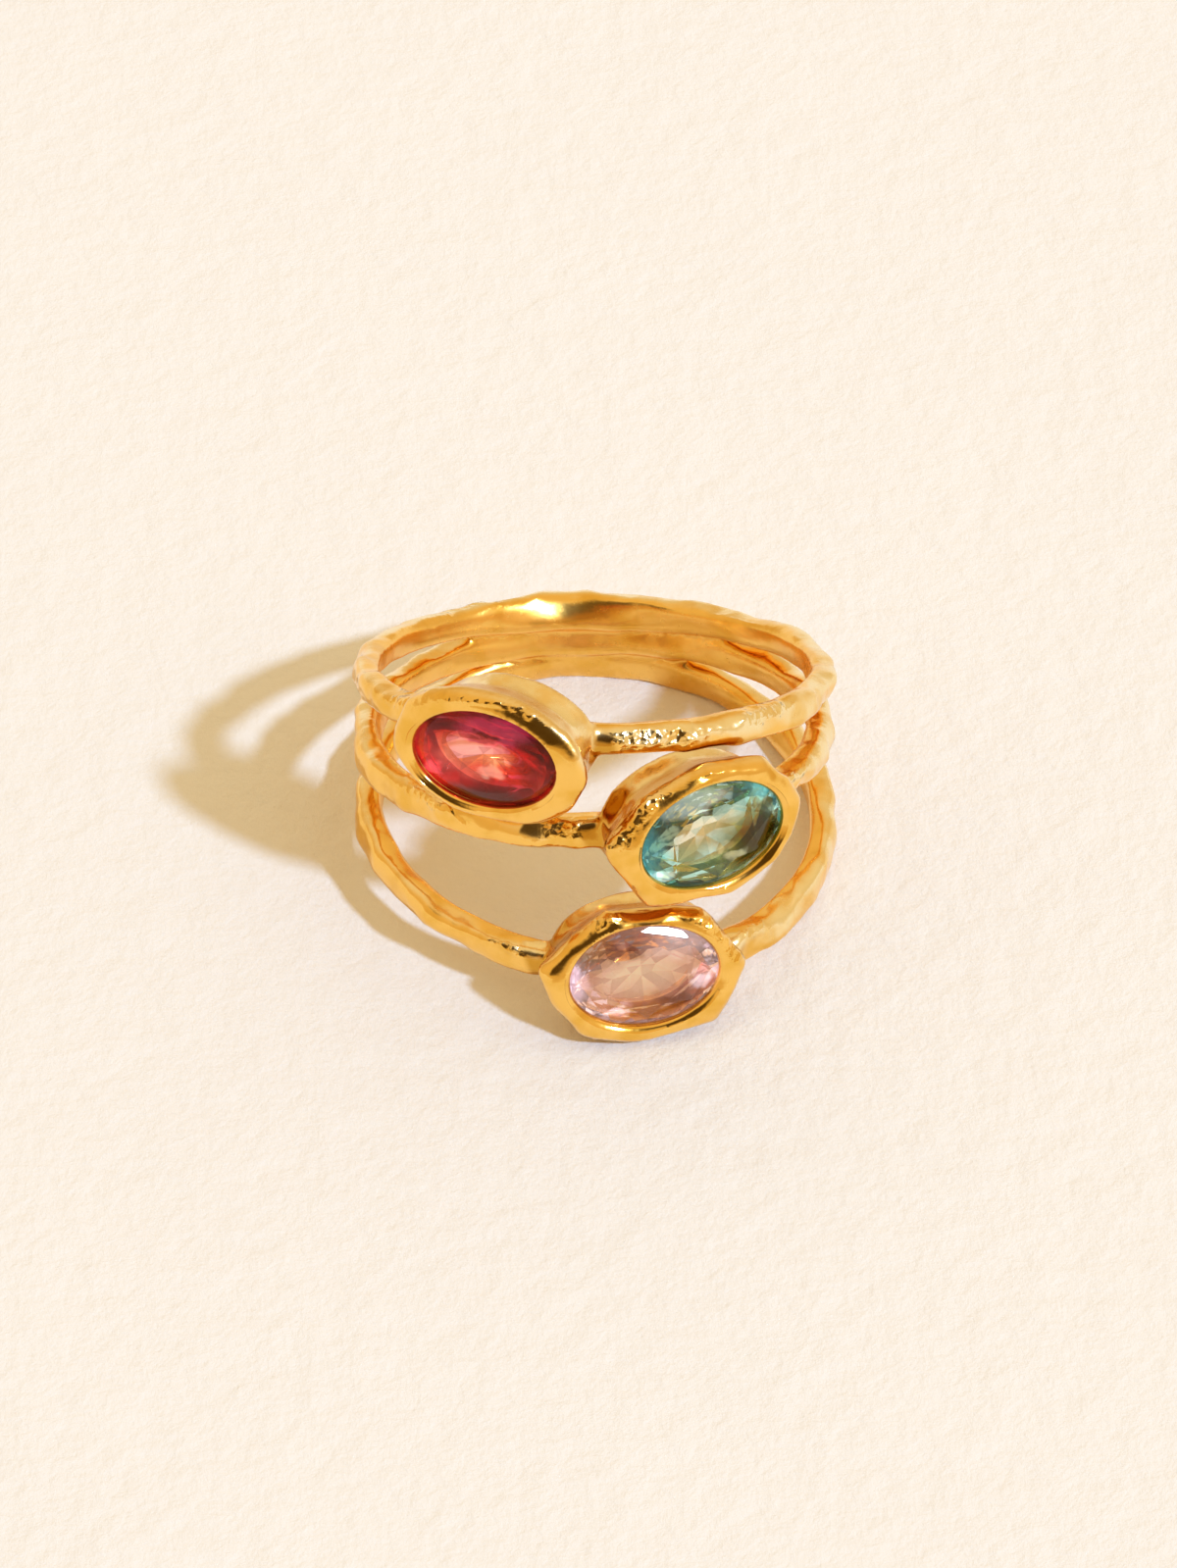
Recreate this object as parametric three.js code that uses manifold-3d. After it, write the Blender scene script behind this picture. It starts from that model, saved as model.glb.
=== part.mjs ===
import * as THREE from 'three';
import { mergeVertices } from 'three/addons/utils/BufferGeometryUtils.js';
import { ConvexGeometry } from 'three/addons/geometries/ConvexGeometry.js';
import Module from 'manifold-3d';

// Sizes in millimetres, angles in degrees. The ring lies on its side, stones to the front (-Y).
// A finger of ring size seven fits through: inside diameter about 17.3 mm.
const bandRadius = 9.25;
const bandThickness = 1.14;
const backHeight = 1.66;
const backHalfArc = 48;
const bandSides = 10;
const bandRings = 72;
const bandFullness = 0.86;
const innerFullness = 0.5;

// Each band is a tilted circle. It starts from its own height at the back, rises towards the front by
// its lift, leans to the right by its lean as it nears the front, and swells a little at its bulge.
const bands = [
  { name: 'upper', height: 1.28, backZ: 3.6, lift: 30.8, lean: -1.6, bulge: 0.0, bulgeAt: 60, seed: 0.4 },
  { name: 'middle', height: 1.4, backZ: 2.18, lift: 21.9, lean: 2.4, bulge: 0.0, bulgeAt: 70, seed: 2.1 },
  { name: 'lower', height: 1.46, backZ: 0.7, lift: 4.9, lean: -6.2, bulge: 0.3, bulgeAt: 68, seed: 4.7 },
];

// Hammer marks: slow waves over the bands, as a share of their section.
const markDepth = 0.05;
const markFine = 0.035;

// Oval window of each cup, the stone's girdle reaching under the lip, and the cup's depth.
const windowHalfLength = 3.03;
const windowHalfWidth = 2.22;
const lipReach = 0.27;
const lipUnder = -0.24;
const cupDepth = 2.55;
const girthDepth = 0.62;
const cupSegments = 40;
const seatGap = 0.14;
const backReach = 0.7;

// Cups are set into the front of their band. rise is how far the rim stands out from the band's
// centre line, up moves the cup across the band, and baseAlong and baseAcross slide the foot of the
// cup, so that its wall flares to one side. corners go round the hammered rim from its right end,
// as [along, across] from the window's middle, and facet says how straight the rim is between them.
const cups = [
  {
    stone: 'stone_red', band: 0, place: -23.2, turn: -23.0, tip: 10.7, roll: 12.3, rise: 1.9, up: -0.2,
    baseAlong: 0.39, baseAcross: -0.08, facet: 0.15, color: 0xc2183a,
    corners: [
      [4.21, -0.89], [3.19, 1.78], [0.63, 2.97], [-2.16, 2.81], [-3.96, 0.84], [-3.06, -1.65], [-0.61, -2.86],
      [2.15, -2.86],
    ],
  },
  {
    stone: 'stone_teal', band: 1, place: 25.5, turn: 25.0, tip: 17.9, roll: 0.5, rise: 1.9, up: 0.1,
    baseAlong: -0.55, baseAcross: 0.15, facet: 0.85, color: 0x3fb6b4,
    corners: [
      [4.0, 0.0], [3.67, 1.26], [2.7, 2.45], [0.4, 3.05], [-2.6, 2.45], [-4.45, 0.9], [-3.15, -2.4],
      [0.4, -3.0], [2.7, -2.1], [3.5, -1.25],
    ],
  },
  {
    stone: 'stone_pink', band: 2, place: 11.0, turn: 10.5, tip: 20.9, roll: 0.0, rise: 1.9, up: 0.55,
    baseAlong: -0.2, baseAcross: 0.0, facet: 0.7, color: 0xb77f98,
    corners: [
      [4.25, -0.2], [2.6, 2.5], [-1.35, 2.9], [-4.25, 0.75], [-2.85, -2.4], [-0.7, -3.1], [2.8, -2.6],
    ],
  },
];

// Faceted oval stone, in shares of its girdle: table and crown corner reach; heights in millimetres.
const tableReach = 0.56;
const crownReach = 0.8;
const pavilionReach = 0.5;
const girdleTop = -0.6;
const girdleBottom = -0.74;
const crownHeight = 0.42;
const tableHeight = 0.64;
const pavilionMid = -0.82;
const pavilionDepth = 1.22;

const rad = Math.PI / 180;
const wasm = await Module();
wasm.setup();

function solidOf(geometry) {
  const loose = geometry.clone();
  loose.deleteAttribute('normal');
  loose.deleteAttribute('uv');
  const merged = mergeVertices(loose, 1e-4);
  const at = merged.attributes.position;
  const triangles = [];
  let volume = 0;
  const a = new THREE.Vector3();
  const b = new THREE.Vector3();
  const c = new THREE.Vector3();
  for (let i = 0; i < merged.index.count; i += 3) {
    const [p, q, r] = [0, 1, 2].map((k) => merged.index.getX(i + k));
    if (p === q || q === r || r === p) continue;
    triangles.push(p, q, r);
    a.fromBufferAttribute(at, p);
    b.fromBufferAttribute(at, q);
    c.fromBufferAttribute(at, r);
    volume += a.dot(b.cross(c));
  }
  if (volume < 0) {
    for (let i = 0; i < triangles.length; i += 3) {
      [triangles[i + 1], triangles[i + 2]] = [triangles[i + 2], triangles[i + 1]];
    }
  }
  return new wasm.Manifold(new wasm.Mesh({
    numProp: 3,
    vertProperties: new Float32Array(at.array),
    triVerts: new Uint32Array(triangles),
  }));
}

function meshOf(solid, name, material) {
  const shape = solid.getMesh();
  const geometry = new THREE.BufferGeometry();
  geometry.setAttribute('position', new THREE.BufferAttribute(new Float32Array(shape.vertProperties), 3));
  geometry.setIndex(new THREE.BufferAttribute(new Uint32Array(shape.triVerts), 1));
  const mesh = new THREE.Mesh(geometry, material);
  mesh.name = name;
  return mesh;
}

// Smooth share from 1 at the centre of an arc to 0 at its ends.
function swell(angle, centre, halfArc) {
  const away = Math.abs(((angle - centre + 540) % 360) - 180) / halfArc;
  return away < 1 ? 0.5 + 0.5 * Math.cos(Math.PI * away) : 0;
}

function signedPower(value, power) {
  return Math.sign(value) * Math.abs(value) ** power;
}

// Point of a band at an angle round from the front (right is positive), with a radial offset and a
// height offset square to the band's own plane.
function bandPoint(band, angle, out, high) {
  const radius = bandRadius + band.bulge * swell(angle, band.bulgeAt, 80) + out;
  const across = radius * Math.sin(angle * rad);
  const along = bandRadius + radius * Math.cos(angle * rad);
  const lift = band.lift * rad;
  const lean = across * Math.tan(band.lean * rad) * along / (2 * bandRadius);
  return new THREE.Vector3(
    across,
    bandRadius - along * Math.cos(lift) + high * Math.sin(lift),
    band.backZ + along * Math.sin(lift) + high * Math.cos(lift) + lean,
  );
}

function buildBand(band) {
  const geometry = new THREE.TorusGeometry(1, 0.25, bandSides, bandRings);
  const at = geometry.attributes.position;
  for (let i = 0; i < at.count; i += 1) {
    const ring = Math.round(Math.atan2(at.getY(i), at.getX(i)) / (2 * Math.PI) * bandRings);
    const reach = Math.hypot(at.getX(i), at.getY(i)) - 1;
    const side = Math.round(Math.atan2(at.getZ(i), reach) / (2 * Math.PI) * bandSides);
    const u = ((ring + bandRings) % bandRings) / bandRings * 2 * Math.PI;
    const v = ((side + bandSides) % bandSides) / bandSides * 2 * Math.PI;
    const angle = u / rad;
    const marks = 1 + markDepth * Math.sin(5 * u + 2 * v + band.seed)
      + markFine * Math.sin(11 * u - 3 * v + 2 * band.seed)
      + markFine * Math.sin(17 * u + v + 3 * band.seed);
    const atBack = swell(angle, 180, backHalfArc);
    const height = band.height + (backHeight - band.height) * atBack;
    const fullness = Math.cos(v) < 0 ? innerFullness : bandFullness;
    const out = signedPower(Math.cos(v), fullness) * bandThickness / 2;
    const high = signedPower(Math.sin(v), bandFullness) * height / 2;
    const worn = out < 0 ? 1 + (marks - 1) * 0.3 : marks;
    const point = bandPoint(band, angle, out * worn, high * (1 + (marks - 1) * 0.7));
    at.setXYZ(i, point.x, point.y, point.z);
  }
  return solidOf(geometry);
}

// Frame of a cup: e1 along the stone's length, e2 across it, n out of the rim.
function cupFrame(cup) {
  const turn = cup.turn * rad;
  const tip = cup.tip * rad;
  const n = new THREE.Vector3(
    Math.sin(turn) * Math.cos(tip), -Math.cos(turn) * Math.cos(tip), Math.sin(tip));
  const level = new THREE.Vector3(Math.cos(turn), Math.sin(turn), 0);
  const steep = new THREE.Vector3().crossVectors(n, level);
  const roll = cup.roll * rad;
  const e1 = level.clone().multiplyScalar(Math.cos(roll)).addScaledVector(steep, Math.sin(roll));
  const e2 = steep.clone().multiplyScalar(Math.cos(roll)).addScaledVector(level, -Math.sin(roll));
  const centre = bandPoint(bands[cup.band], cup.place, 0, 0)
    .addScaledVector(n, cup.rise)
    .addScaledVector(e2, cup.up);
  return new THREE.Matrix4().makeBasis(e1, e2, n).setPosition(centre);
}

// Point of the rim's outline in the direction of a point of the window oval.
function rimPoint(cup, windowPoint) {
  const angleOf = (x, y) => (Math.atan2(y, x) + 2 * Math.PI) % (2 * Math.PI);
  const ovalReach = (angle) =>
    1 / Math.hypot(Math.cos(angle) / windowHalfLength, Math.sin(angle) / windowHalfWidth);
  const angle = angleOf(windowPoint.x, windowPoint.y);
  const marks = cup.corners.map(([x, y]) => ({ x, y, angle: angleOf(x, y) }));
  marks.sort((p, q) => p.angle - q.angle);
  let next = marks.findIndex((mark) => mark.angle > angle);
  if (next < 0) next = 0;
  const to = marks[next];
  const from = marks[(next + marks.length - 1) % marks.length];
  const turn = (end, start) => (end - start + 2 * Math.PI) % (2 * Math.PI);
  const share = turn(angle, from.angle) / turn(to.angle, from.angle);
  const ease = share * share * (3 - 2 * share);
  const fromRatio = Math.hypot(from.x, from.y) / ovalReach(from.angle);
  const toRatio = Math.hypot(to.x, to.y) / ovalReach(to.angle);
  const smooth = ovalReach(angle) * (fromRatio + (toRatio - fromRatio) * ease);
  const [dx, dy] = [to.x - from.x, to.y - from.y];
  const straight = (from.x * dy - from.y * dx) / (Math.cos(angle) * dy - Math.sin(angle) * dx);
  const reach = straight * cup.facet + smooth * (1 - cup.facet);
  return new THREE.Vector2(reach * Math.cos(angle), reach * Math.sin(angle));
}

// Sections turned round the cup's own axis: reach up to 1 is a share of the window oval, past 1 it is
// millimetres outside it; part moves the point that share of the way out to the rim's outline.
const cupSection = [
  { reach: 0, part: 0, deep: -cupDepth },
  { reach: 1.38, part: 0, deep: -cupDepth },
  { reach: 1.5, part: 0, deep: -cupDepth + 0.2 },
  { reach: 1.06, part: 0.5, deep: -1.5 },
  { reach: 1, part: 1, deep: -girthDepth },
  { reach: 1, part: 0.98, deep: -0.3 },
  { reach: 1, part: 0.72, deep: 0.02 },
  { reach: 1, part: 0.42, deep: 0.08 },
  { reach: 1.06, part: 0, deep: -0.05 },
  { reach: 0.9, part: 0, deep: -0.2 },
  { reach: 0, part: 0, deep: -0.2 },
];

// The hollow that the stone drops into: the open back, the sloping seat, the wall round the girdle,
// the lip and the window.
const seatSection = [
  { reach: 0, part: 0, deep: -cupDepth - 0.9 },
  { reach: backReach, part: 0, deep: -cupDepth - 0.9 },
  { reach: backReach, part: 0, deep: -1.72 },
  { reach: 1 + lipReach + seatGap, part: 0, deep: girdleBottom - 0.1 },
  { reach: 1 + lipReach + seatGap, part: 0, deep: girdleTop + 0.12 },
  { reach: 1, part: 0, deep: lipUnder },
  { reach: 1.02, part: 0, deep: 1.5 },
  { reach: 0, part: 0, deep: 1.5 },
];

function turned(cup, section) {
  const last = section.length - 1;
  const points = section.map((row, i) => new THREE.Vector2(i === 0 || i === last ? 0 : 1, i));
  const geometry = new THREE.LatheGeometry(points, cupSegments);
  const at = geometry.attributes.position;
  for (let i = 0; i < at.count; i += 1) {
    const row = section[Math.round(at.getY(i))];
    const step = Math.round(Math.atan2(at.getX(i), at.getZ(i)) / (2 * Math.PI) * cupSegments);
    const t = ((step + cupSegments) % cupSegments) / cupSegments * 2 * Math.PI;
    const inside = Math.min(row.reach, 1);
    const outside = row.reach - inside;
    const windowPoint = new THREE.Vector2(windowHalfLength * Math.cos(t), windowHalfWidth * Math.sin(t));
    const normal = new THREE.Vector2(Math.cos(t) / windowHalfLength, Math.sin(t) / windowHalfWidth);
    normal.normalize();
    const point = windowPoint.clone().multiplyScalar(inside).addScaledVector(normal, outside);
    if (row.part > 0) point.lerp(rimPoint(cup, windowPoint), row.part);
    const foot = section === cupSection ? Math.max(0, -row.deep - girthDepth) / (cupDepth - girthDepth) : 0;
    at.setXYZ(i, point.x + foot * cup.baseAlong, point.y + foot * cup.baseAcross, row.deep);
  }
  geometry.applyMatrix4(cupFrame(cup));
  return solidOf(geometry);
}

function buildStone(cup) {
  const length = windowHalfLength + lipReach;
  const width = windowHalfWidth + lipReach;
  const corners = [];
  const corner = (reach, turn, deep) => corners.push(
    new THREE.Vector3(reach * length * Math.cos(turn * rad), reach * width * Math.sin(turn * rad), deep));
  for (let k = 0; k < 8; k += 1) {
    corner(tableReach, 45 * k + 22.5, girdleTop + tableHeight);
    corner(crownReach, 45 * k, girdleTop + crownHeight);
    corner(pavilionReach, 45 * k + 22.5, girdleBottom + pavilionMid);
  }
  for (let k = 0; k < 16; k += 1) {
    corner(1, 22.5 * k, girdleTop);
    corner(1, 22.5 * k, girdleBottom);
  }
  corner(0, 0, girdleBottom - pavilionDepth);
  const geometry = new ConvexGeometry(corners);
  geometry.applyMatrix4(cupFrame(cup));
  return solidOf(geometry);
}

const gold = new THREE.MeshStandardMaterial({ color: 0xe8b04a, metalness: 1, roughness: 0.25 });
let body = buildBand(bands[0]);
for (const band of bands.slice(1)) body = body.add(buildBand(band));
for (const cup of cups) body = body.add(turned(cup, cupSection));
for (const cup of cups) body = body.subtract(turned(cup, seatSection));

// Everything below the table top is ground away, which leaves the flat faces that the ring rests on.
const floorBlock = new THREE.BoxGeometry(60, 60, 10);
floorBlock.translate(0, 0, -5);
body = body.subtract(solidOf(floorBlock));

// The origin is the middle of the footprint at table height.
const box = body.boundingBox();
const shift = [-(box.min[0] + box.max[0]) / 2, -(box.min[1] + box.max[1]) / 2, -box.min[2]];

const ring = new THREE.Group();
ring.name = 'gemstone_ring';
ring.add(meshOf(body.translate(shift), 'ring_body', gold));
for (const cup of cups) {
  const material = new THREE.MeshStandardMaterial({ color: cup.color, metalness: 0, roughness: 0.05 });
  ring.add(meshOf(buildStone(cup).translate(shift), cup.stone, material));
}

export default ring;
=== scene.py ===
import bpy
import bmesh
import math
from mathutils import Matrix, Vector, noise


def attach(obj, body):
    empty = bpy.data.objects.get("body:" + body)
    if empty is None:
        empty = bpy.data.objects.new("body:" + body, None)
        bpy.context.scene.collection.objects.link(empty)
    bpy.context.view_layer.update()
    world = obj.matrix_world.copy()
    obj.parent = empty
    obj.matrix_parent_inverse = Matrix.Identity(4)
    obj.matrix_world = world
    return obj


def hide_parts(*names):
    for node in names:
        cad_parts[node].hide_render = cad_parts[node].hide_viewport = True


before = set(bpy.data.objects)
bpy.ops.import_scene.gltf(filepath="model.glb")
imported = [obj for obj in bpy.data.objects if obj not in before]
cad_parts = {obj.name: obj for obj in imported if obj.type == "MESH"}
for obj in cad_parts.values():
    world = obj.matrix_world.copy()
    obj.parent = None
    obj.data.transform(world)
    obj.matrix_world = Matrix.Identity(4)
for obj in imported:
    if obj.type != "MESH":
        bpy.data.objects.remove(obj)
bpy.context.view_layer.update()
print("frame loaded:", sorted(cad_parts))

mm = 0.001
deg = math.pi / 180
tiny = 1e-4         # mm, nearer points count as one


# camera: same place and angle as the photograph, framed for 1200 x 1599
cameraSetup = {
    "target": (-0.347, 0.989, 3.02),    # mm, what the lens points at
    "distance": 260.0,
    "elevation": 48.0,
    "lens": 145.2,
    "sensor": 36,
    "clip": (0.01, 20),     # metres
}


def placeCamera(setup):
    lensData = bpy.data.cameras.new("photoCamera")
    lensData.sensor_fit = "AUTO"
    lensData.sensor_width = setup["sensor"]
    lensData.lens = setup["lens"]
    lensData.clip_start, lensData.clip_end = setup["clip"]
    camera = bpy.data.objects.new("photoCamera", lensData)
    bpy.context.scene.collection.objects.link(camera)
    tilt = setup["elevation"] * deg
    away = Vector((0, -math.cos(tilt), math.sin(tilt))) * setup["distance"]
    camera.location = (Vector(setup["target"]) + away) * mm
    camera.rotation_euler = (math.pi / 2 - tilt, 0, 0)
    bpy.context.scene.camera = camera


placeCamera(cameraSetup)
bpy.context.scene.view_settings.view_transform = "Standard"
print("camera placed")


# shader maths: a Wire is one socket, and arithmetic on it adds Math nodes
class Wire:
    def __init__(self, board, socket):
        self.board = board
        self.socket = socket

    def maths(self, operation, first, second):
        return self.board.add("ShaderNodeMath", {"operation": operation}, {0: first, 1: second})

    def __add__(self, other):
        return self.maths("ADD", self, other)

    def __radd__(self, other):
        return self.maths("ADD", other, self)

    def __sub__(self, other):
        return self.maths("SUBTRACT", self, other)

    def __rsub__(self, other):
        return self.maths("SUBTRACT", other, self)

    def __mul__(self, other):
        return self.maths("MULTIPLY", self, other)

    def __rmul__(self, other):
        return self.maths("MULTIPLY", other, self)


# one node tree; add makes any node from its type, its settings and its inputs
class Board:
    def __init__(self, tree):
        self.tree = tree
        tree.nodes.clear()

    def add(self, kind, settings=None, inputs=None, out=0):
        node = self.tree.nodes.new(kind)
        for name, value in (settings or {}).items():
            setattr(node, name, value)
        for name, value in (inputs or {}).items():
            if isinstance(value, Wire):
                self.tree.links.new(value.socket, node.inputs[name])
            else:
                node.inputs[name].default_value = value
        return Wire(self, node.outputs[out]) if len(node.outputs) else None

    def fade(self, value, low, high):
        return self.add("ShaderNodeMapRange", {"interpolation_type": "SMOOTHSTEP"},
                        {0: value, 1: low, 2: high})

    def mix(self, share, first, second):
        return self.add("ShaderNodeMix", {"data_type": "RGBA"}, {0: share, 6: first, 7: second}, 2)


def newMaterial(name):
    material = bpy.data.materials.new(name)
    material.use_nodes = True
    return material, Board(material.node_tree)


# gold: deep and polished on rims, duller where the finger goes, satin outside and painted paler on the side
# facing the light (painted light), cup walls painted darker (painted shade), and crumpled where the cast
# surface is left rough
goldFinish = {
    "polished": (0.97, 0.59, 0.14, 1),
    "polishedDeep": (0.87, 0.49, 0.078, 1),
    "paintedWallShade": (0.66, 0.33, 0.04, 1),    # painted shade: a darker gold for the cup walls
    # painted light: the pale colour of the brushed side facing the light, and its deeper patches
    "litSatin": (0.98, 0.81, 0.46, 1),
    "litSatinDeep": (0.93, 0.65, 0.24, 1),
    "mottleScale": 650,
    "grainScale": 3300,
    "crumpleScale": 2900,
    "patches": (0.42, 0.68),            # noise values where deeper patches begin and are full
    "grains": (0.55, 0.75),
    "edges": (0.1, 0.9),                # ridge values where rough edges begin and are full
    "polishedRough": 0.13,
    "satinRough": 0.22,
    "patchRough": 0.1,
    "grainRough": 0.04,
    "innerRough": 0.12,                 # added where the finger goes
    "edgePolish": 0.6,                  # share of the satin that rough edges lose
    "mottleHeight": 0.3,
    "grainHeight": 0.1,
    "satinGrain": 0.15,                 # grain added on satin, and on rough edges
    "edgeGrain": 0.7,
    "crumpleHeight": 2.0,
    "bumpStrength": 0.42,
    "bumpDistance": 0.0001,
}


def goldMaterial(finish):
    material, board = newMaterial("hammeredGold")
    place = board.add("ShaderNodeTexCoord", out="Object")
    litSatin = board.add("ShaderNodeAttribute", {"attribute_name": "litSatin"}, out="Fac")
    ridge = board.add("ShaderNodeAttribute", {"attribute_name": "ridge"}, out="Fac")
    wall = board.add("ShaderNodeAttribute", {"attribute_name": "wall"}, out="Fac")
    inner = board.add("ShaderNodeAttribute", {"attribute_name": "inner"}, out="Fac")
    mottle = board.add("ShaderNodeTexNoise", None,
                       {"Vector": place, "Scale": finish["mottleScale"], "Detail": 3, "Roughness": 0.55})
    grain = board.add("ShaderNodeTexNoise", None,
                      {"Vector": place, "Scale": finish["grainScale"], "Detail": 2, "Roughness": 0.6})
    patches = board.fade(mottle, *finish["patches"])
    grains = board.fade(grain, *finish["grains"])
    edges = board.fade(ridge, *finish["edges"])
    polishedColor = board.mix(patches, finish["polished"], finish["polishedDeep"])
    # painted shade: the polished cup walls take a darker gold
    polishedColor = board.mix(wall, polishedColor, finish["paintedWallShade"])
    litSatinColor = board.mix(patches, finish["litSatin"], finish["litSatinDeep"])
    color = board.mix(litSatin, polishedColor, litSatinColor)
    spread = finish["satinRough"] - finish["polishedRough"]
    brushedLitSide = litSatin * (spread + patches * finish["patchRough"]) * (1 - edges * finish["edgePolish"])
    roughness = finish["polishedRough"] + brushedLitSide + grains * finish["grainRough"]
    roughness = roughness + inner * finish["innerRough"]
    crumple = board.add("ShaderNodeTexVoronoi", None, {"Vector": place, "Scale": finish["crumpleScale"]})
    grainShare = finish["grainHeight"] + litSatin * finish["satinGrain"] + edges * finish["edgeGrain"]
    height = mottle * finish["mottleHeight"] + grain * grainShare
    height = height + crumple * edges * finish["crumpleHeight"]
    bump = board.add("ShaderNodeBump", None, {
        "Height": height, "Strength": finish["bumpStrength"], "Distance": finish["bumpDistance"]})
    shader = board.add("ShaderNodeBsdfPrincipled", None, {
        "Base Color": color, "Roughness": roughness, "Metallic": 1.0, "Normal": bump})
    board.add("ShaderNodeOutputMaterial", None, {"Surface": shader})
    return material


# ring body: three hammered bands and three cups, in millimetres and degrees
ringBody = {
    "origin": (-0.1373, 0.9902, 0.0),
    "radius": 9.25,
    "thickness": 1.14,
    "backHeight": 1.66,
    "backHalfArc": 48,
    "outerFullness": 0.7,
    "innerFullness": 0.5,
    "bulgeHalfArc": 80,
    "bandSides": 28,
    "bandSteps": 240,
    # uneven forging: depth as a share of the section, waves round the finger and round the section
    "waves": [(0.05, 5, 2), (0.035, 11, -3), (0.035, 17, 1)],
    "wavesInside": 0.3,     # share of the waves on the inner face, and in the height
    "wavesHigh": 0.7,
    "twist": 11.0,          # how far the section turns to and fro along a band
    "sways": [(1.0, 3), (0.7, 7)],  # share of the twist, and how often round the finger
    "cupCuts": 2,
    "cupSteps": 128,
    "seatSteps": 112,
    "voxel": 0.119,
    "weld": 0.002,          # slivers thinner than this are taken out after the seats are cut
    "dentSize": 2.1,
    "dentDepth": 0.13,
    "chipSize": 1.05,
    "chipDepth": 0.024,
    "pitSize": 0.42,        # rough cast pits on part of each rim and beside the cups
    "pitDepth": 0.072,
    "cellReach": 1.3,       # how soon a dent's floor rises to its edge, and where it lies
    "cellLevel": 0.6,
    "lumpSize": 1.6,
    "lumpDepth": 0.1,
    "rimCalm": 0.45,        # how much less the rims are hammered
    "insideCalm": 0.7,      # and the inside, where the finger goes
    "sharp": 38.0,          # steeper edges than this stay crisp
    "brushedLitSide": (0.5, 0.1, 0.86),    # the brushed side, which is also painted paler as if lit (painted light)
    "bands": [
        {"height": 1.28, "backZ": 3.6, "lift": 30.8, "lean": -1.6, "bulge": 0.0, "bulgeAt": 60, "seed": 0.4},
        {"height": 1.4, "backZ": 2.18, "lift": 21.9, "lean": 2.4, "bulge": 0.0, "bulgeAt": 70, "seed": 2.1},
        {"height": 1.46, "backZ": 0.7, "lift": 4.9, "lean": -6.2, "bulge": 0.3, "bulgeAt": 68, "seed": 4.7},
    ],
    "windowLength": 3.03,
    "windowWidth": 2.22,
    "depth": 2.55,
    "girth": 0.62,
    # corners go round the rim from its right end; facet says how straight it is between them;
    # slope is how far the rim falls away on one side, where, and over what half arc;
    # rough is the part of the rim that keeps its cast pits, as a middle and a half arc
    "cups": [
        {"band": 0, "place": -23.2, "turn": -23.0, "tip": 10.7, "roll": 12.3, "rise": 1.9, "up": -0.2,
         "foot": (0.39, -0.08), "slope": (0.3, 46, 80), "rough": (83, 80), "facet": 0.15, "corners": [
             (4.21, -0.89), (3.19, 1.78), (0.63, 2.97), (-2.16, 2.81), (-3.96, 0.84), (-3.06, -1.65),
             (-0.61, -2.86), (2.15, -2.86)]},
        {"band": 1, "place": 25.5, "turn": 25.0, "tip": 17.9, "roll": 0.5, "rise": 1.9, "up": 0.1,
         "foot": (-0.55, 0.15), "slope": (0.24, 125, 85), "rough": (115, 80), "facet": 0.85, "corners": [
             (4.0, 0.0), (3.67, 1.26), (2.7, 2.45), (0.4, 3.05), (-2.6, 2.45), (-4.45, 0.9), (-3.15, -2.4),
             (0.4, -3.0), (2.7, -2.1), (3.5, -1.25)]},
        {"band": 2, "place": 11.0, "turn": 10.5, "tip": 20.9, "roll": 0.0, "rise": 1.9, "up": 0.55,
         "foot": (-0.2, 0.0), "slope": (0.22, 100, 95), "rough": (85, 80), "facet": 0.7, "corners": [
             (4.25, -0.2), (2.6, 2.5), (-1.35, 2.9), (-4.25, 0.75), (-2.85, -2.4), (-0.7, -3.1),
             (2.8, -2.6)]},
    ],
    # sections: share of the window oval or mm past it, share of the way to the rim, height,
    # and how much of the rim's slope the row takes
    "cupSection": [
        (0.0, 0.0, -2.55, 0.0), (1.38, 0.0, -2.55, 0.0), (1.5, 0.0, -2.35, 0.0), (1.06, 0.5, -1.5, 0.0),
        (1.0, 1.0, -0.62, 0.0), (1.0, 0.98, -0.3, 0.45), (1.0, 0.72, 0.02, 1.0), (1.0, 0.42, 0.08, 0.55),
        (1.06, 0.0, 0.05, -0.1), (0.9, 0.0, -0.05, 0.0), (0.0, 0.0, -0.05, 0.0),
    ],
    # hollow for the stone: open back, seat, wall at the girdle, lip and a chamfered window
    "seatSection": [
        (0.0, 0.0, -3.45, 0.0), (0.7, 0.0, -3.45, 0.0), (0.7, 0.0, -1.72, 0.0), (1.41, 0.0, -0.84, 0.0),
        (1.41, 0.0, -0.48, 0.0), (1.0, 0.0, -0.26, 0.0), (1.0, 0.0, -0.17, 0.0), (1.05, 0.0, -0.06, 0.0),
        (1.13, 0.0, 0.01, 0.0), (1.24, 0.0, 0.05, 0.0), (1.4, 0.0, 0.3, 0.0), (1.5, 0.0, 1.5, 0.0),
        (0.0, 0.0, 1.5, 0.0),
    ],
}


def swell(angle, centre, halfArc):
    away = abs(((angle - centre + 540) % 360) - 180) / halfArc
    return 0.5 + 0.5 * math.cos(math.pi * away) if away < 1 else 0.0


def signedPower(value, power):
    return math.copysign(abs(value) ** power, value)


# a point of a tilted band, angle measured round from the front
def bandPoint(band, angle, out, high):
    radius = ringBody["radius"]
    reach = radius + band["bulge"] * swell(angle, band["bulgeAt"], ringBody["bulgeHalfArc"]) + out
    across = reach * math.sin(angle * deg)
    along = radius + reach * math.cos(angle * deg)
    lift = band["lift"] * deg
    lean = across * math.tan(band["lean"] * deg) * along / (2 * radius)
    return Vector((
        across,
        radius - along * math.cos(lift) + high * math.sin(lift),
        band["backZ"] + along * math.sin(lift) + high * math.cos(lift) + lean))


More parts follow.
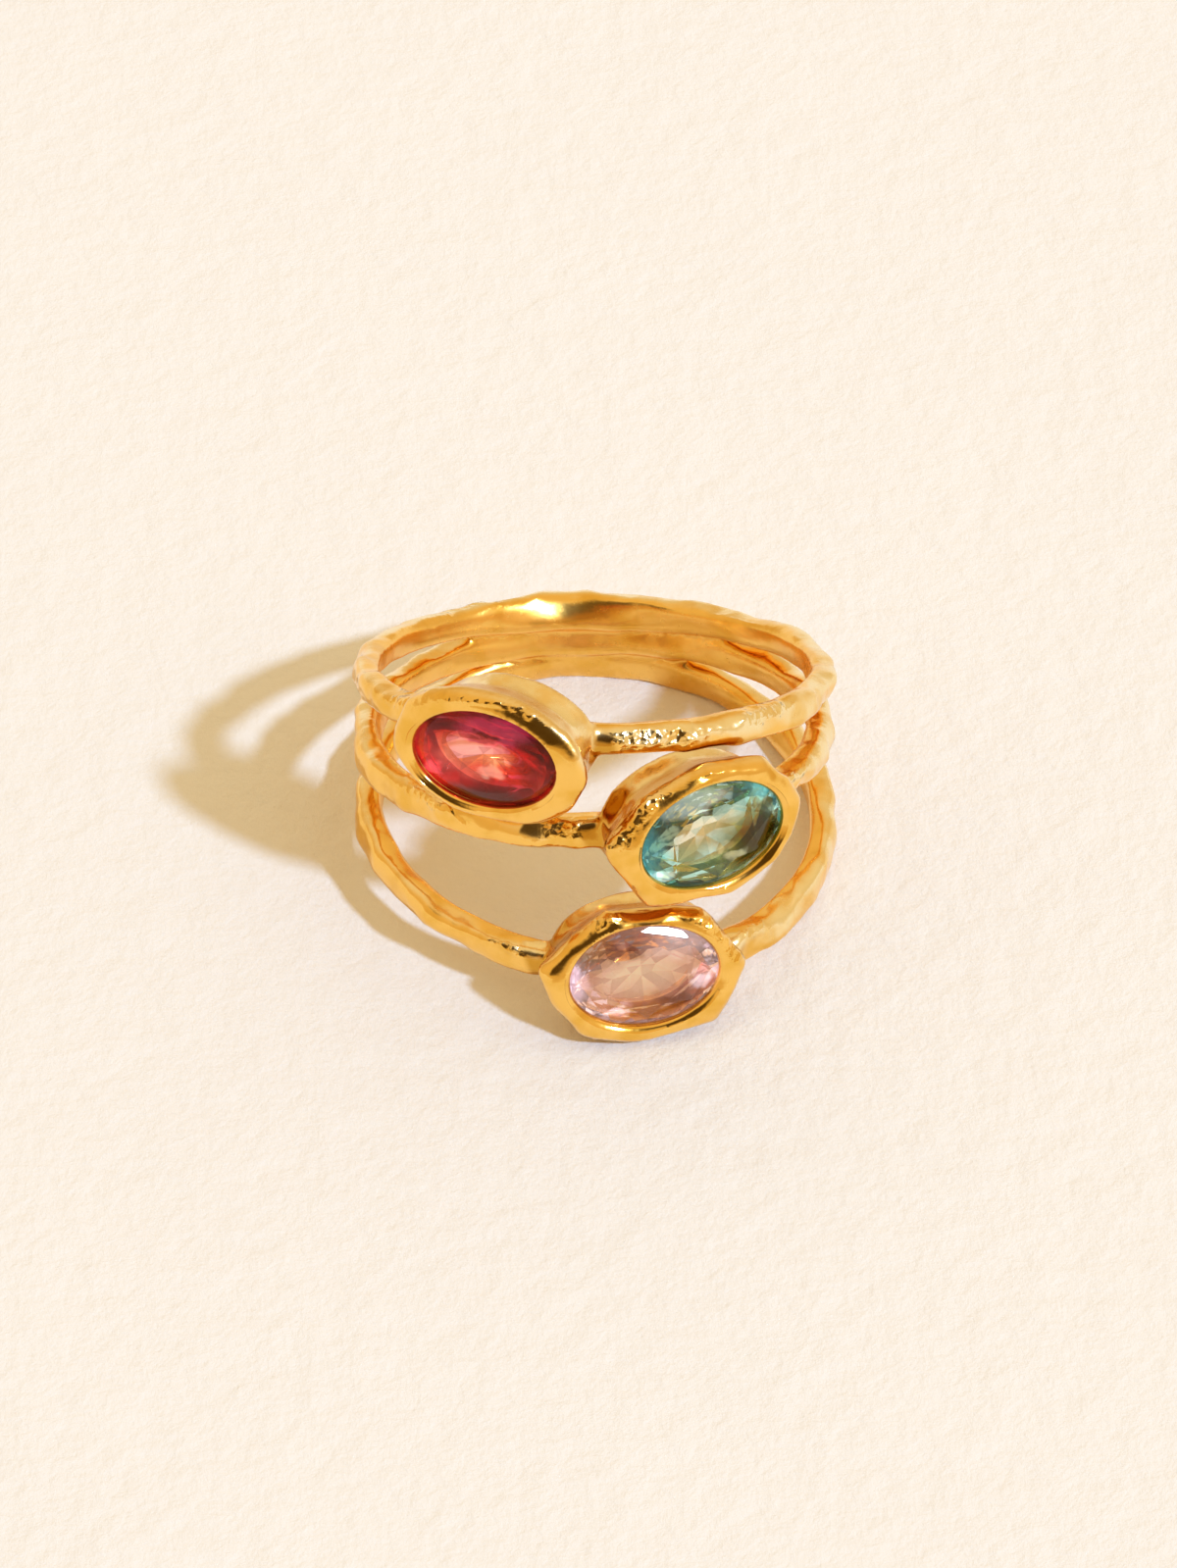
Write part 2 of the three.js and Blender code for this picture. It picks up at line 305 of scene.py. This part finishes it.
def cupFrame(cup):
    turn = cup["turn"] * deg
    tip = cup["tip"] * deg
    out = Vector((math.sin(turn) * math.cos(tip), -math.cos(turn) * math.cos(tip), math.sin(tip)))
    level = Vector((math.cos(turn), math.sin(turn), 0))
    roll = Matrix.Rotation(cup["roll"] * deg, 3, out)
    along = roll @ level
    across = roll @ out.cross(level)
    centre = bandPoint(ringBody["bands"][cup["band"]], cup["place"], 0, 0)
    centre += out * cup["rise"] + across * cup["up"]
    turned = Matrix((along, across, out)).transposed().to_4x4()
    return Matrix.Translation(centre) @ turned


def ovalReach(angle):
    along = math.cos(angle) / ringBody["windowLength"]
    across = math.sin(angle) / ringBody["windowWidth"]
    return 1 / math.hypot(along, across)


# where a ray from the window's middle meets the rim's outline
def rimReach(cup, angle):
    full = 2 * math.pi
    marks = sorted((math.atan2(y, x) % full, x, y) for x, y in cup["corners"])
    later = [i for i, mark in enumerate(marks) if mark[0] > angle % full]
    toIndex = later[0] if later else 0
    toTurn, toX, toY = marks[toIndex]
    fromTurn, fromX, fromY = marks[toIndex - 1]
    share = ((angle - fromTurn) % full) / ((toTurn - fromTurn) % full)
    ease = share * share * (3 - 2 * share)
    fromRatio = math.hypot(fromX, fromY) / ovalReach(fromTurn)
    toRatio = math.hypot(toX, toY) / ovalReach(toTurn)
    smooth = ovalReach(angle) * (fromRatio + (toRatio - fromRatio) * ease)
    dx, dy = toX - fromX, toY - fromY
    straight = (fromX * dy - fromY * dx) / (math.cos(angle) * dy - math.sin(angle) * dx)
    return straight * cup["facet"] + smooth * (1 - cup["facet"])


def bandShell(band):
    bm = bmesh.new()
    ring = bmesh.ops.create_circle(bm, segments=ringBody["bandSides"], radius=1)["verts"]
    for v in ring:
        fullness = ringBody["innerFullness"] if v.co.x < 0 else ringBody["outerFullness"]
        out = signedPower(v.co.x, fullness) * ringBody["thickness"] / 2
        high = signedPower(v.co.y, ringBody["outerFullness"]) / 2
        v.co = (ringBody["radius"] + out, 0, high)
    bmesh.ops.spin(bm, geom=bm.verts[:] + bm.edges[:], cent=(0, 0, 0), axis=(0, 0, 1),
                   angle=2 * math.pi, steps=ringBody["bandSteps"], use_merge=True)
    for v in bm.verts:
        u = math.atan2(v.co.y, v.co.x)
        out = math.hypot(v.co.x, v.co.y) - ringBody["radius"]
        section = math.atan2(v.co.z, out)
        marks = 0.0
        for step, (depth, turns, slant) in enumerate(ringBody["waves"], 1):
            marks += depth * math.sin(turns * u + slant * section + step * band["seed"])
        sway = 0.0
        for step, (share, turns) in enumerate(ringBody["sways"], 1):
            sway += share * math.sin(turns * u + step * band["seed"])
        twist = ringBody["twist"] * sway * deg
        atBack = swell(u / deg, 180, ringBody["backHalfArc"])
        height = band["height"] + (ringBody["backHeight"] - band["height"]) * atBack
        uneven = 1 + marks * (ringBody["wavesInside"] if out < 0 else 1.0)
        thick = out * uneven
        high = v.co.z * height * (1 + marks * ringBody["wavesHigh"])
        turned = Matrix.Rotation(twist, 2) @ Vector((thick, high))
        v.co = bandPoint(band, u / deg, turned.x, turned.y)
    bmesh.ops.recalc_face_normals(bm, faces=bm.faces[:])
    return bm


def turnedShell(cup, section, cuts, steps, slides):
    bm = bmesh.new()
    last = len(section) - 1
    line = [bm.verts.new((0 if i in (0, last) else 1, 0, i)) for i in range(len(section))]
    for a, b in zip(line, line[1:]):
        bm.edges.new((a, b))
    if cuts:
        bmesh.ops.subdivide_edges(bm, edges=bm.edges[:], cuts=cuts)
    bmesh.ops.spin(bm, geom=bm.verts[:] + bm.edges[:], cent=(0, 0, 0), axis=(0, 0, 1),
                   angle=2 * math.pi, steps=steps, use_merge=True)
    length = ringBody["windowLength"]
    width = ringBody["windowWidth"]
    for v in bm.verts:
        row = min(int(v.co.z + tiny), last - 1)
        share = v.co.z - row
        reach, part, deep, fall = (a + (b - a) * share for a, b in zip(section[row], section[row + 1]))
        t = math.atan2(v.co.y, v.co.x)
        inside = min(reach, 1.0)
        window = Vector((length * math.cos(t), width * math.sin(t)))
        normal = Vector((math.cos(t) / length, math.sin(t) / width)).normalized()
        point = window * inside + normal * (reach - inside)
        if part > 0:
            ray = math.atan2(window.y, window.x)
            rim = rimReach(cup, ray)
            point = point.lerp(Vector((rim * math.cos(ray), rim * math.sin(ray))), part)
        slope, at, halfArc = cup["slope"]
        deep -= fall * slope * swell(t / deg, at, halfArc)
        below = max(0.0, -deep - ringBody["girth"]) / (ringBody["depth"] - ringBody["girth"])
        foot = Vector(cup["foot"]) * (below if slides else 0.0)
        v.co = (point.x + foot.x, point.y + foot.y, deep)
    bmesh.ops.remove_doubles(bm, verts=bm.verts[:], dist=tiny)
    bmesh.ops.transform(bm, matrix=cupFrame(cup), verts=bm.verts[:])
    bmesh.ops.recalc_face_normals(bm, faces=bm.faces[:])
    return bm


def shellObject(bm, name):
    mesh = bpy.data.meshes.new(name)
    bm.to_mesh(mesh)
    bm.free()
    shell = bpy.data.objects.new(name, mesh)
    bpy.context.scene.collection.objects.link(shell)
    return shell


def finalMesh(shell):
    view = bpy.context.evaluated_depsgraph_get()
    return bpy.data.meshes.new_from_object(shell.evaluated_get(view))


def discard(shells):
    for shell in shells:
        mesh = shell.data
        bpy.data.objects.remove(shell)
        bpy.data.meshes.remove(mesh)


def joinedObject(parts, name):
    joined = bmesh.new()
    for part in parts:
        mesh = bpy.data.meshes.new("part")
        part.to_mesh(mesh)
        part.free()
        joined.from_mesh(mesh)
        bpy.data.meshes.remove(mesh)
    return shellObject(joined, name)


def meshCopy(shell):
    bm = bmesh.new()
    mesh = finalMesh(shell)
    bm.from_mesh(mesh)
    bpy.data.meshes.remove(mesh)
    discard([shell])
    return bm


def soften(bm, times):
    for _ in range(times):
        bmesh.ops.smooth_vert(bm, verts=bm.verts[:], factor=0.5,
                              use_axis_x=True, use_axis_y=True, use_axis_z=True)


def smoothStep(value, low, high):
    share = min(1.0, max(0.0, (value - low) / (high - low)))
    return share * share * (3 - 2 * share)


# where each finish begins and is full: mm from the middle of a cup's window, or how squarely
# the surface faces a direction
finishZones = {
    "rimHeight": (-0.5, -0.15),
    "rimDepth": 1.0,            # a rim's face lies this near its window's plane
    "cupReach": 5.0,            # and this near the window's middle
    "rimReach": 4.4,
    "lipPast": (0.6, 0.35),     # past the window
    "wallHeight": (-0.3, -0.75),
    "wallFoot": -2.6,
    "wallReach": 4.9,
    "wallPast": (0.5, 0.2),     # past the rim
    "besideCup": (7.6, 5.4),
    "inside": (0.15, 0.6),
    "outside": (-0.15, 0.35),
    "shoulderLow": (0.32, 0.52),
    "shoulderHigh": (0.93, 0.8),
    "brushLitFacing": (0.3, 0.78),
    "litSideWander": 0.22,
    "ridgeGain": 40,
    "ridgeSpread": 3,           # times the ridge value is evened out
}


# 1 on the face of a rim, 0 elsewhere
def rimShare(place, frames):
    share = 0.0
    for toCup in frames:
        local = toCup @ place
        near = math.hypot(local.x, local.y) < finishZones["cupReach"]
        if near and abs(local.z) < finishZones["rimDepth"]:
            share = max(share, smoothStep(local.z, *finishZones["rimHeight"]))
    return share


# 1 on the inner lip of a rim, next to the stone
def lipShare(place, frames):
    share = 0.0
    for toCup in frames:
        local = toCup @ place
        if abs(local.z) < finishZones["rimDepth"]:
            past = math.hypot(local.x, local.y) - ovalReach(math.atan2(local.y, local.x))
            share = max(share, smoothStep(past, *finishZones["lipPast"]))
    return share


# 1 where the surface faces the finger
def insideShare(v):
    outward = Vector((v.co.x, v.co.y, 0)).normalized()
    return smoothStep(-v.normal.dot(outward), *finishZones["inside"])


# 1 on the sloping upper shoulders of the outside
def shoulderShare(v):
    rise = v.normal.z
    sloping = smoothStep(rise, *finishZones["shoulderLow"]) * smoothStep(rise, *finishZones["shoulderHigh"])
    return sloping * (1 - insideShare(v))


# 1 on the side wall of a cup
def wallShare(place, frames):
    share = 0.0
    for cup, toCup in zip(ringBody["cups"], frames):
        local = toCup @ place
        reach = math.hypot(local.x, local.y)
        top = finishZones["wallHeight"][0]
        if reach < finishZones["wallReach"] and finishZones["wallFoot"] < local.z < top:
            past = reach - rimReach(cup, math.atan2(local.y, local.x))
            beside = smoothStep(past, *finishZones["wallPast"])
            share = max(share, smoothStep(local.z, *finishZones["wallHeight"]) * beside)
    return share


# 1 where the cast surface is left rough: part of each rim, and the bands beside a cup
def roughShare(place, frames):
    share = 0.0
    for cup, toCup in zip(ringBody["cups"], frames):
        local = toCup @ place
        near = smoothStep(local.length, *finishZones["besideCup"])
        if math.hypot(local.x, local.y) < finishZones["rimReach"]:
            near = swell(math.atan2(local.y, local.x) / deg, *cup["rough"])
        share = max(share, near)
    return share * (1 - wallShare(place, frames))


# each cell of a Voronoi pattern is pressed in a little at its middle
def dent(place, size):
    away = noise.voronoi(place / size)[0][0]
    return min(1.0, away * ringBody["cellReach"]) ** 2 - ringBody["cellLevel"]


# hammer dents, chips and lumps all over, and pits where the cast surface is left rough
def planish(bm):
    bm.normal_update()
    frames = [cupFrame(cup).inverted() for cup in ringBody["cups"]]
    moves = []
    for v in bm.verts:
        press = ringBody["dentDepth"] * dent(v.co, ringBody["dentSize"])
        press += ringBody["chipDepth"] * dent(v.co, ringBody["chipSize"])
        press += ringBody["lumpDepth"] * noise.fractal(v.co / ringBody["lumpSize"], 1.0, 2.0, 2)
        press *= 1 - ringBody["rimCalm"] * rimShare(v.co, frames)
        rough = shoulderShare(v) * roughShare(v.co, frames) * (1 - lipShare(v.co, frames))
        press += ringBody["pitDepth"] * dent(v.co, ringBody["pitSize"]) * rough
        press *= 1 - ringBody["insideCalm"] * insideShare(v)
        moves.append(v.normal * press)
    for v, move in zip(bm.verts, moves):
        v.co += move


# values for the finish: satin on the brushed outside that faces the light, painted paler there (painted
# light), ridge on rough shoulders, wall on cup sides, where the gold is painted darker (painted shade), inner
# where the finger goes
def markFinish(bm):
    bm.normal_update()
    litSatin = bm.verts.layers.float.new("litSatin")
    ridge = bm.verts.layers.float.new("ridge")
    wall = bm.verts.layers.float.new("wall")
    inner = bm.verts.layers.float.new("inner")
    brushedLitSide = Vector(ringBody["brushedLitSide"]).normalized()
    frames = [cupFrame(cup).inverted() for cup in ringBody["cups"]]
    for v in bm.verts:
        v[inner] = insideShare(v)
        outside = 1 - max(v[inner], rimShare(v.co, frames))
        # painted light: outer faces turned towards the light are marked for the pale satin colour; the edge
        # wanders with a little noise
        uneven = finishZones["litSideWander"] * noise.fractal(v.co / ringBody["lumpSize"], 1.0, 2.0, 3)
        v[wall] = wallShare(v.co, frames)
        outward = Vector((v.co.x, v.co.y, 0)).normalized()
        facing = max(v[wall], smoothStep(v.normal.dot(outward), *finishZones["outside"]))
        v[litSatin] = outside * facing * smoothStep(v.normal.dot(brushedLitSide) + uneven, *finishZones["brushLitFacing"])
        around = [edge.other_vert(v).co for edge in v.link_edges]
        middle = sum(around, Vector()) / len(around)
        raised = max(0.0, (v.co - middle).dot(v.normal)) * finishZones["ridgeGain"]
        v[ridge] = (raised + shoulderShare(v)) * roughShare(v.co, frames) * (1 - lipShare(v.co, frames))
    for _ in range(finishZones["ridgeSpread"]):
        soft = [sum(edge.other_vert(v)[ridge] for edge in v.link_edges) / len(v.link_edges) for v in bm.verts]
        for v, value in zip(bm.verts, soft):
            v[ridge] = (v[ridge] + value) / 2


# bands and cups are fused into one skin, hammered, and then the seats are cut
def buildRingBody():
    parts = [bandShell(band) for band in ringBody["bands"]]
    cuts, steps = ringBody["cupCuts"], ringBody["cupSteps"]
    parts += [turnedShell(cup, ringBody["cupSection"], cuts, steps, True) for cup in ringBody["cups"]]
    fused = joinedObject(parts, "fused")
    skin = fused.modifiers.new("skin", "REMESH")
    skin.mode = "VOXEL"
    skin.voxel_size = ringBody["voxel"]
    bm = meshCopy(fused)
    soften(bm, 2)
    planish(bm)
    soften(bm, 1)
    for v in bm.verts:
        v.co.z = max(v.co.z, 0.0)
    skinObject = shellObject(bm, "skin")
    steps = ringBody["seatSteps"]
    hollows = [turnedShell(cup, ringBody["seatSection"], 0, steps, False) for cup in ringBody["cups"]]
    seats = joinedObject(hollows, "seats")
    cut = skinObject.modifiers.new("seatCut", "BOOLEAN")
    cut.operation = "DIFFERENCE"
    cut.solver = "MANIFOLD"
    cut.object = seats
    bm = meshCopy(skinObject)
    discard([seats])
    bmesh.ops.triangulate(bm, faces=bm.faces[:])
    bmesh.ops.dissolve_degenerate(bm, dist=ringBody["weld"], edges=bm.edges[:])
    markFinish(bm)
    for edge in bm.edges:
        edge.smooth = edge.calc_face_angle(0) < ringBody["sharp"] * deg
    bmesh.ops.translate(bm, verts=bm.verts[:], vec=ringBody["origin"])
    bmesh.ops.scale(bm, verts=bm.verts[:], vec=(mm, mm, mm))
    for face in bm.faces:
        face.smooth = True
    print("ring body triangles:", sum(len(face.verts) - 2 for face in bm.faces))
    return shellObject(bm, "ringBodyGold")


ringPiece = buildRingBody()
ringPiece.data.materials.append(goldMaterial(goldFinish))
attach(ringPiece, "root")
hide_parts("ring_body")
print("ring body done")


# stones: cut as rings of corners, clear, with painted highlights, reflections, shade and glow in colour
# zones, in mm from the middle of the window
# ring rows: share of the girdle, how many corners, turn in steps, height
crownCut = [(0.56, 8, 0.5, 0.04), (0.8, 8, 0.0, -0.18), (1.0, 16, 0.0, -0.6)]
domedCut = [
    (0.42, 40, 0.0, 0.04), (0.6, 40, 0.0, -0.02), (0.8, 40, 0.0, -0.18), (0.94, 40, 0.0, -0.4),
    (1.0, 40, 0.0, -0.6)]
backCut = [
    (1.0, 32, 0.0, -0.74), (0.9, 32, 0.5, -0.945), (0.78, 16, 0.5, -1.16), (0.6, 16, 0.0, -1.42),
    (0.4, 8, 0.5, -1.66), (0.18, 8, 0.0, -1.87), (0.0, 1, 0.0, -1.95)]
# zone rows: painted colour, place along and across, half sizes, how strongly the zone glows (painted light)
# per stone: main is the stone's own colour; deep is painted shade that the darker facets take, by the given
# share; glow is painted light that the stone gives off; the zones paint highlights, reflections and dark
# patches of shade
stoneFinish = {
    "stone_red": {
        "slot": "red_stone", "cup": 0, "crown": domedCut, "shine": (0.55, 0.32, 0.24, 1),
        "main": (0.95, 0.05, 0.1, 1), "deep": (0.3, 0.008, 0.025, 1), "paintedShadeShare": 0.6,
        "paintedGlow": 0.02, "paintedLightZones": [
            ((1.0, 0.45, 0.4, 1), (-0.49, 0.1), (1.9, 1.0), 0.09),
            ((1.0, 0.08, 0.2, 1), (0.82, 1.46), (1.9, 0.75), 0.24),
            ((0.28, 0.012, 0.008, 1), (2.3, -0.49), (1.25, 2.0), 0.0),
            ((0.3, 0.012, 0.012, 1), (0.0, -1.94), (2.6, 0.85), 0.0),
            ((1.0, 0.07, 0.05, 1), (-2.74, 0.58), (0.55, 1.3), 0.25),
            ((1.0, 0.12, 0.16, 1), (-2.45, -0.75), (0.5, 0.35), 0.5),
            ((1.0, 0.7, 0.55, 1), (0.35, -0.45), (0.7, 0.3), 0.3),
            ((0.45, 0.02, 0.06, 1), (0.1, 1.15), (0.8, 0.3), 0.0),
        ]},
    "stone_teal": {
        "slot": "teal_stone", "cup": 1, "crown": crownCut, "shine": (0.6, 0.55, 0.38, 1),
        "main": (0.5, 0.86, 0.78, 1), "deep": (0.12, 0.32, 0.27, 1), "paintedShadeShare": 0.6,
        "paintedGlow": 0.015, "paintedLightZones": [
            ((0.93, 0.93, 0.7, 1), (-0.3, 0.2), (1.8, 1.0), 0.02),
            ((0.2, 0.8, 0.82, 1), (-2.75, 0.2), (0.8, 1.6), 0.13),
            ((0.22, 0.2, 0.02, 1), (1.7, -0.9), (1.75, 1.25), 0.0),
            ((0.88, 1.0, 0.92, 1), (-0.6, 1.75), (1.7, 0.6), 0.3),
            ((0.4, 1.0, 0.9, 1), (2.3, 1.1), (0.6, 0.5), 0.25),
            ((1.0, 0.95, 0.6, 1), (0.75, -1.1), (0.6, 0.22), 0.3),
            ((0.7, 1.0, 0.95, 1), (-2.2, -1.15), (0.5, 0.3), 0.4),
            ((0.2, 0.42, 0.36, 1), (0.5, 1.2), (0.7, 0.35), 0.0),
        ]},
    "stone_pink": {
        "slot": "pink_stone", "cup": 2, "crown": crownCut, "shine": (1.0, 0.85, 0.7, 1),
        "main": (1.0, 0.72, 0.7, 1), "deep": (0.5, 0.22, 0.2, 1), "paintedShadeShare": 0.7,
        "paintedGlow": 0.04, "paintedLightZones": [
            ((1.0, 0.87, 0.77, 1), (-0.2, 0.0), (1.8, 0.85), 0.1),
            ((0.82, 0.48, 0.22, 1), (-2.0, 1.5), (1.0, 0.8), 0.06),
            ((1.0, 0.8, 0.84, 1), (1.5, 1.25), (1.5, 0.75), 0.2),
            ((1.0, 0.72, 0.84, 1), (-2.8, -0.1), (0.6, 1.0), 0.28),
            ((0.78, 0.43, 0.16, 1), (0.0, -1.5), (2.0, 0.5), 0.04),
            ((0.5, 0.24, 0.16, 1), (-0.8, 1.15), (1.0, 0.4), 0.0),
            ((0.55, 0.27, 0.17, 1), (1.1, -1.25), (0.9, 0.35), 0.0),
            ((1.0, 0.88, 1.0, 1), (2.3, -0.55), (0.55, 0.35), 0.4),
            ((1.0, 0.86, 0.96, 1), (-1.2, -1.55), (0.6, 0.25), 0.4),
        ]},
}
stoneGlass = {
    "bend": 1.65,
    "polish": 0.01,
    "girdle": (3.3, 2.49),  # half length and half width, mm
    "flat": 0.5,            # facets nearer to one plane than this are joined, degrees
    "sharp": 9.0,           # smoother edges than this are polished away on the domed stone
    "toneStep": 2.4,        # facets take painted lighter and darker tones in turn (painted light and shade)
    "crownSway": 0.15,      # how far the painted tones part on the front, and on the back
    "backSway": 0.5,
    "toneEdges": (0.1, 0.75),
    "veilScale": 1.4,
    "ragged": 0.9,          # how far the zones' edges wander, mm
    "zoneEdges": (1.15, 0.5),   # a zone begins and is full at these shares of its half sizes
    "glowFloor": 0.25,      # share of a zone's painted glow that the deepest facets keep
}


def stoneFrame(finish):
    return Matrix.Translation(ringBody["origin"]) @ cupFrame(ringBody["cups"][finish["cup"]])


def stoneShell(finish):
    bm = bmesh.new()
    length, width = stoneGlass["girdle"]
    for reach, corners, turn, deep in finish["crown"] + backCut:
        for k in range(corners):
            t = (k + turn) / corners * 2 * math.pi
            bm.verts.new((reach * length * math.cos(t), reach * width * math.sin(t), deep))
    hull = bmesh.ops.convex_hull(bm, input=bm.verts[:])
    spare = hull["geom_interior"] + hull["geom_unused"]
    loose = [item for item in spare if isinstance(item, bmesh.types.BMVert)]
    bmesh.ops.delete(bm, geom=loose, context="VERTS")
    bmesh.ops.dissolve_limit(bm, angle_limit=stoneGlass["flat"] * deg, verts=bm.verts[:], edges=bm.edges[:])
    bmesh.ops.recalc_face_normals(bm, faces=bm.faces[:])
    # painted light and shade: each facet gets a lighter or darker tone in turn
    facetPaintedLight = bm.faces.layers.float.new("facetPaintedLight")
    for i, face in enumerate(bm.faces):
        face.smooth = True
        sway = stoneGlass["crownSway"] if face.normal.z > 0 else stoneGlass["backSway"]
        face[facetPaintedLight] = 1 - sway + sway * math.sin(i * stoneGlass["toneStep"])
    bmesh.ops.transform(bm, matrix=Matrix.Scale(mm, 4) @ stoneFrame(finish), verts=bm.verts[:])
    for edge in bm.edges:
        edge.smooth = finish["crown"] is domedCut and edge.calc_face_angle(0) < stoneGlass["sharp"] * deg
    return bm


def scaledColor(color, share):
    return tuple(channel * share for channel in color[:3]) + (1,)


def stoneMaterial(name, finish):
    material, board = newMaterial(name + "Glass")
    place = board.add("ShaderNodeTexCoord", out="Object")
    toCup = stoneFrame(finish)
    local = board.add("ShaderNodeMapping", {"vector_type": "TEXTURE"}, {
        "Vector": place, "Location": toCup.to_translation() * mm, "Rotation": toCup.to_euler(),
        "Scale": (mm, mm, mm)})
    # painted light and shade per facet, from the facet tones
    facetPaintedLight = board.add("ShaderNodeAttribute", {"attribute_name": "facetPaintedLight"}, out="Fac")
    shade = board.fade(facetPaintedLight, *stoneGlass["toneEdges"])
    veil = board.add("ShaderNodeTexNoise", None,
                     {"Vector": local, "Scale": stoneGlass["veilScale"], "Detail": 2}, "Color")
    sway = board.add("ShaderNodeVectorMath", {"operation": "SUBTRACT"}, {0: veil, 1: (0.5, 0.5, 0.5)})
    shift = board.add("ShaderNodeVectorMath", {"operation": "SCALE"},
                      {0: sway, "Scale": stoneGlass["ragged"]})
    moved = board.add("ShaderNodeVectorMath", {"operation": "ADD"}, {0: local, 1: shift})
    color = finish["main"]
    # painted glow: the stone gives off light from its colour though it is no lamp
    paintedGlow = scaledColor(finish["main"], finish["paintedGlow"])
    floor = stoneGlass["glowFloor"]
    # each zone paints a highlight, a reflection or a patch of shade, with its own painted glow
    for zoneColor, middle, halfSize, zonePaintedGlow in finish["paintedLightZones"]:
        offset = board.add("ShaderNodeVectorMath", {"operation": "SUBTRACT"}, {0: moved, 1: (*middle, 0)})
        scaled = board.add("ShaderNodeVectorMath", {"operation": "MULTIPLY"},
                           {0: offset, 1: (1 / halfSize[0], 1 / halfSize[1], 0)})
        away = board.add("ShaderNodeVectorMath", {"operation": "LENGTH"}, {0: scaled}, "Value")
        share = board.fade(away, *stoneGlass["zoneEdges"])
        color = board.mix(share, color, zoneColor)
        paintedGlow = board.mix(share * (floor + shade * (1 - floor)), paintedGlow, scaledColor(zoneColor, zonePaintedGlow))
    # painted shade: the darker facets take the deep colour
    color = board.mix((1 - shade) * finish["paintedShadeShare"], color, finish["deep"])
    shader = board.add("ShaderNodeBsdfPrincipled", None, {
        "Base Color": color, "Roughness": stoneGlass["polish"], "IOR": stoneGlass["bend"],
        "Transmission Weight": 1.0, "Specular Tint": finish["shine"], "Emission Color": paintedGlow,
        "Emission Strength": 1.0})
    board.add("ShaderNodeOutputMaterial", None, {"Surface": shader})
    return material


for name, finish in stoneFinish.items():
    stone = shellObject(stoneShell(finish), name + "Cut")
    stone.data.materials.append(stoneMaterial(name, finish))
    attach(stone, "root")
    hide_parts(name)
    print(name, "faces:", len(stone.data.polygons))
print("stones done")


# floor: pale cream card with a faint tooth
floorFinish = {
    "light": (0.96, 0.94, 0.91, 1),
    "shade": (0.94, 0.915, 0.88, 1),
    "size": 3.0,            # half its width, metres
    "toothScale": 160,
    "fibreScale": 620,
    "bumpStrength": 0.5,
    "bumpDistance": 0.0004,
    "roughness": 0.75,
    "gloss": 0.2,
}


def buildFloor(finish):
    bm = bmesh.new()
    bmesh.ops.create_grid(bm, x_segments=2, y_segments=2, size=finish["size"])
    floor = shellObject(bm, "floor")
    material, board = newMaterial("creamCard")
    place = board.add("ShaderNodeTexCoord", out="Object")
    tooth = board.add("ShaderNodeTexNoise", None,
                      {"Vector": place, "Scale": finish["toothScale"], "Detail": 4})
    fibre = board.add("ShaderNodeTexNoise", None,
                      {"Vector": place, "Scale": finish["fibreScale"], "Detail": 5, "Roughness": 0.65})
    bump = board.add("ShaderNodeBump", None, {
        "Height": fibre, "Strength": finish["bumpStrength"], "Distance": finish["bumpDistance"]})
    color = board.mix(tooth, finish["light"], finish["shade"])
    shader = board.add("ShaderNodeBsdfPrincipled", None, {
        "Base Color": color, "Roughness": finish["roughness"], "Specular IOR Level": finish["gloss"],
        "Normal": bump})
    board.add("ShaderNodeOutputMaterial", None, {"Surface": shader})
    floor.data.materials.append(material)


buildFloor(floorFinish)


# light: a soft cool sun from the front right in a warm surround, with a dark patch in front
lighting = {
    "sunAzimuth": -40.0,    # from +X towards -Y
    "sunElevation": 45.0,
    "sunStrength": 2.45,
    "sunColor": (0.53, 0.71, 1.0),
    "sunAngle": 4.0,
    "zenith": (1.16, 0.885, 0.49, 1),
    "horizon": (1.03, 0.76, 0.41, 1),
    "haze": (1.26, 1.13, 0.96, 1),      # low down, so that the floor runs into the distance
    "dark": (0.11, 0.068, 0.024, 1),
    "surround": 0.762,
    "skyRise": (0.0, 0.8),  # heights of the view direction where a colour begins and is full
    "hazeRise": (0.15, 0.03),
    "darkLow": (0.22, 0.42),
    "darkHigh": (0.92, 0.8),
    "darkFront": (-0.15, -0.4),     # the same along Y, and along X
    "darkLeft": (-0.62, -0.42),
    "darkRight": (0.46, 0.26),
}


def buildLights(setup):
    sunData = bpy.data.lights.new("softSun", "SUN")
    sunData.energy = setup["sunStrength"]
    sunData.color = setup["sunColor"]
    sunData.angle = setup["sunAngle"] * deg
    sun = bpy.data.objects.new("softSun", sunData)
    bpy.context.scene.collection.objects.link(sun)
    side = setup["sunAzimuth"] * deg
    rise = setup["sunElevation"] * deg
    toSun = Vector((math.cos(side) * math.cos(rise), math.sin(side) * math.cos(rise), math.sin(rise)))
    sun.rotation_euler = toSun.to_track_quat("Z", "Y").to_euler()
    world = bpy.data.worlds.new("surround")
    bpy.context.scene.world = world
    world.use_nodes = True
    board = Board(world.node_tree)
    look = board.add("ShaderNodeTexCoord", out="Generated")
    sideways = board.add("ShaderNodeSeparateXYZ", None, {0: look}, "X")
    backward = board.add("ShaderNodeSeparateXYZ", None, {0: look}, "Y")
    upward = board.add("ShaderNodeSeparateXYZ", None, {0: look}, "Z")
    sky = board.mix(board.fade(upward, *setup["skyRise"]), setup["horizon"], setup["zenith"])
    sky = board.mix(board.fade(upward, *setup["hazeRise"]), sky, setup["haze"])
    dark = board.fade(upward, *setup["darkLow"]) * board.fade(upward, *setup["darkHigh"])
    dark = dark * board.fade(backward, *setup["darkFront"])
    dark = dark * board.fade(sideways, *setup["darkLeft"]) * board.fade(sideways, *setup["darkRight"])
    color = board.mix(dark, sky, setup["dark"])
    shader = board.add("ShaderNodeBackground", None, {"Color": color, "Strength": setup["surround"]})
    board.add("ShaderNodeOutputWorld", None, {"Surface": shader})


buildLights(lighting)
print("floor and lights done")
